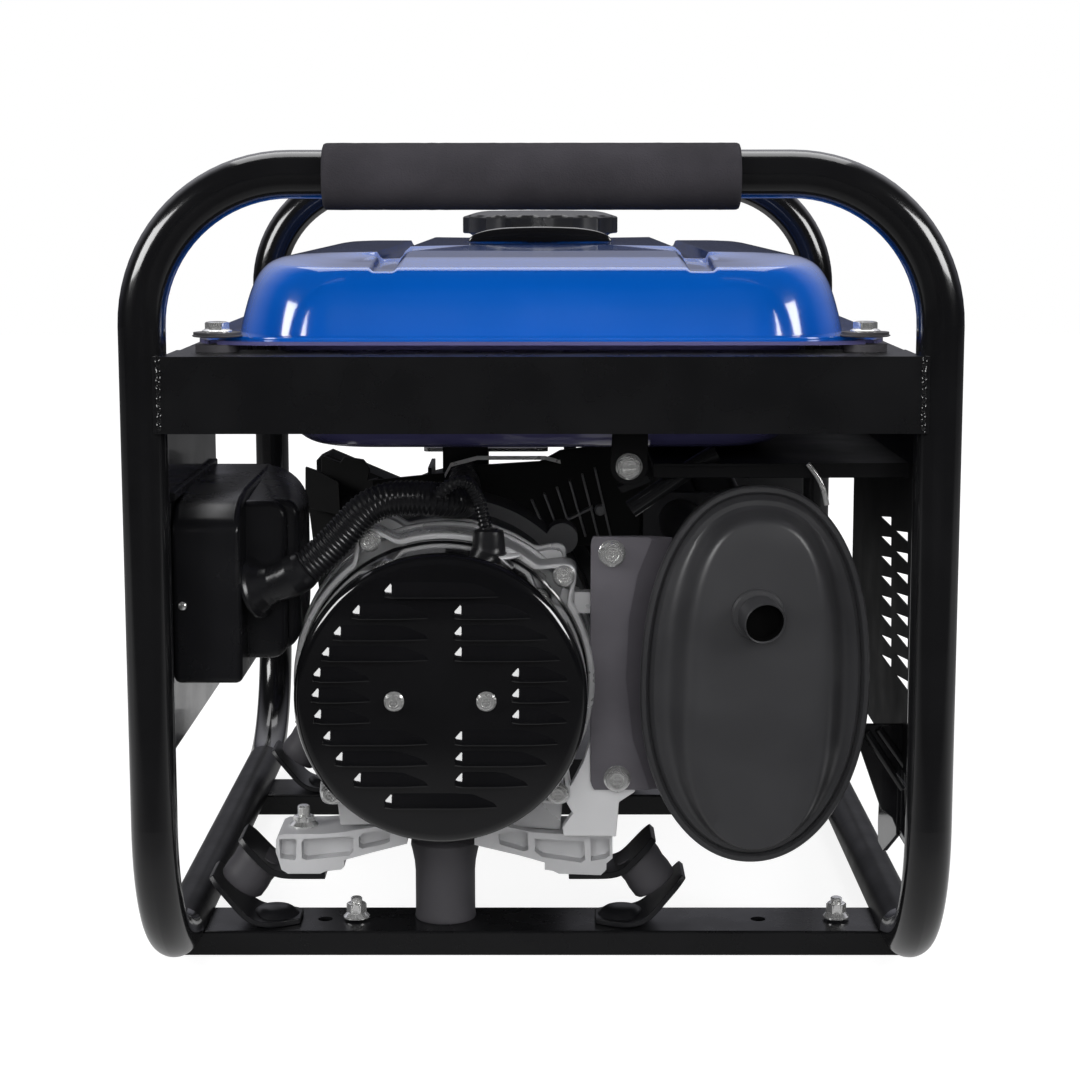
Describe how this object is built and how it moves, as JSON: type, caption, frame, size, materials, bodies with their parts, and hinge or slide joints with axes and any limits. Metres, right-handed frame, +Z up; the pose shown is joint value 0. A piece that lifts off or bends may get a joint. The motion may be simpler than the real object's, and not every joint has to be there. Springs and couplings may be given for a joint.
{
  "type": "portable generator",
  "caption": "Open-frame petrol generator with a blue tank over an alternator end cover, muffler, control panel and recoil starter in a black tube cradle.",
  "frame": {"origin": "on the floor, under the middle of the tube frame", "axes": "+X to the right when facing the alternator end, +Y back along the shaft to the recoil starter, +Z up"},
  "size_m": [0.45, 0.6132, 0.4739],
  "materials": {
    "frame_black": "gloss black powder coat",
    "foam_charcoal": "matt foam",
    "tank_blue": "gloss blue enamel",
    "cap_black": "satin moulded",
    "rubber_black": "matt rubber",
    "zinc_bolts": "bright zinc plate",
    "cast_aluminium": "as cast",
    "engine_black": "satin black enamel on castings",
    "sheet_black": "satin black sheet",
    "stator_steel": "laminated steel",
    "flywheel_iron": "machined iron",
    "tap_brass": "satin brass",
    "muffler_grey": "satin dark grey heat paint",
    "loom_black": "semi-gloss black",
    "switch_red": "gloss red"
  },
  "bodies": {
    "frame": {"adaptor_housing": "cast_aluminium", "air_filter_box": "cap_black", "blower_housing": "sheet_black", "bottom_rails": "frame_black", "branch_loom": "loom_black", "carburettor": "cast_aluminium", "centre_bumper": "rubber_black", "control_bracket": "sheet_black", "control_panel": "sheet_black", "crankcase": "engine_black", "cylinder": "engine_black", "cylinder_head": "engine_black", "end_bracket": "cast_aluminium", "end_cover": "cap_black", "exhaust_pipe": "muffler_grey", "filler_neck": "tank_blue", "flange_bolts": "zinc_bolts", "front_beam": "frame_black", "front_cross_member": "frame_black", "front_grip": "foam_charcoal", "front_hoop": "frame_black", "fuel_hose": "rubber_black", "fuel_tap": "tap_brass", "heat_shield": "sheet_black", "main_loom": "loom_black", "mount_brackets": "sheet_black", "mount_rubbers": "rubber_black", "muffler_body": "muffler_grey", "muffler_bracket": "sheet_black", "muffler_guard": "sheet_black", "outlets": "loom_black", "panel_box": "loom_black", "rear_beam": "frame_black", "rear_cross_member": "frame_black", "rear_grip": "foam_charcoal", "rear_hoop": "frame_black", "recoil_housing": "sheet_black", "rotor_bearing": "stator_steel", "side_rails": "frame_black", "spark_plug": "zinc_bolts", "stator": "stator_steel", "tail_pipe": "muffler_grey", "tank_bolts": "zinc_bolts", "tank_grommets": "rubber_black", "tank_lower_shell": "tank_blue", "tank_upper_shell": "tank_blue", "valve_cover": "engine_black", "voltage_regulator": "cap_black"},
    "rotor_set": {"rotor": "stator_steel", "crankshaft": "stator_steel", "flywheel": "flywheel_iron"},
    "cap": {"tank_cap": "cap_black"},
    "tap_lever": {"fuel_tap_lever": "tap_brass"},
    "choke": {"choke_lever": "zinc_bolts"},
    "governor": {"governor_arm": "zinc_bolts"},
    "dipstick": {"oil_dipstick": "cap_black"},
    "starter_grip": {"recoil_handle": "cap_black"},
    "starter_pulley": {"recoil_pulley": "stator_steel"},
    "stop_switch": {"engine_switch": "switch_red"},
    "breaker": {"breaker_button": "switch_red"}
  },
  "joints": [
    {"name": "shaft_turn", "type": "hinge", "parent": "frame", "child": "rotor_set", "pos_m": [-0.056, 0, 0.168], "axis": [0, 1, 0], "continuous": true},
    {"name": "cap_turn", "type": "hinge", "parent": "frame", "child": "cap", "pos_m": [-0.001, 0, 0.42], "axis": [0, 0, 1], "range_deg": [0, 90]},
    {"name": "tap_turn", "type": "hinge", "parent": "frame", "child": "tap_lever", "pos_m": [0.02, 0.16, 0.286], "axis": [0, 1, 0], "range_deg": [0, 90]},
    {"name": "choke_turn", "type": "hinge", "parent": "frame", "child": "choke", "pos_m": [0.094, 0.118, 0.265], "axis": [0, 0, 1], "range_deg": [-40, 0]},
    {"name": "governor_turn", "type": "hinge", "parent": "frame", "child": "governor", "pos_m": [-0.04, 0.04, 0.26], "axis": [0, 0, 1], "range_deg": [-8, 8]},
    {"name": "dipstick_turn", "type": "hinge", "parent": "frame", "child": "dipstick", "pos_m": [-0.136, 0.044, 0.092], "axis": [1, 0, 0], "range_deg": [-90, 0]},
    {"name": "starter_pull", "type": "slide", "parent": "frame", "child": "starter_grip", "axis": [1, 0, 0], "range_m": [0, 0.04], "stiffness_N_per_m": 60, "springref_m": -0.004},
    {"name": "starter_pulley_turn", "type": "hinge", "parent": "frame", "child": "starter_pulley", "pos_m": [-0.056, 0.185, 0.168], "axis": [0, 1, 0], "range_deg": [0, 90]},
    {"name": "switch_rock", "type": "hinge", "parent": "frame", "child": "stop_switch", "pos_m": [-0.205, -0.11, 0.243], "axis": [0, 1, 0], "range_deg": [-12, 0]},
    {"name": "breaker_push", "type": "slide", "parent": "frame", "child": "breaker", "axis": [1, 0, 0], "range_m": [0, 0.003], "stiffness_N_per_m": 200, "springref_m": -0.002}
  ],
  "couplings": [
    {"joint": "starter_pulley_turn", "follows": "starter_pull", "rad_per_m": 35.7}
  ]
}
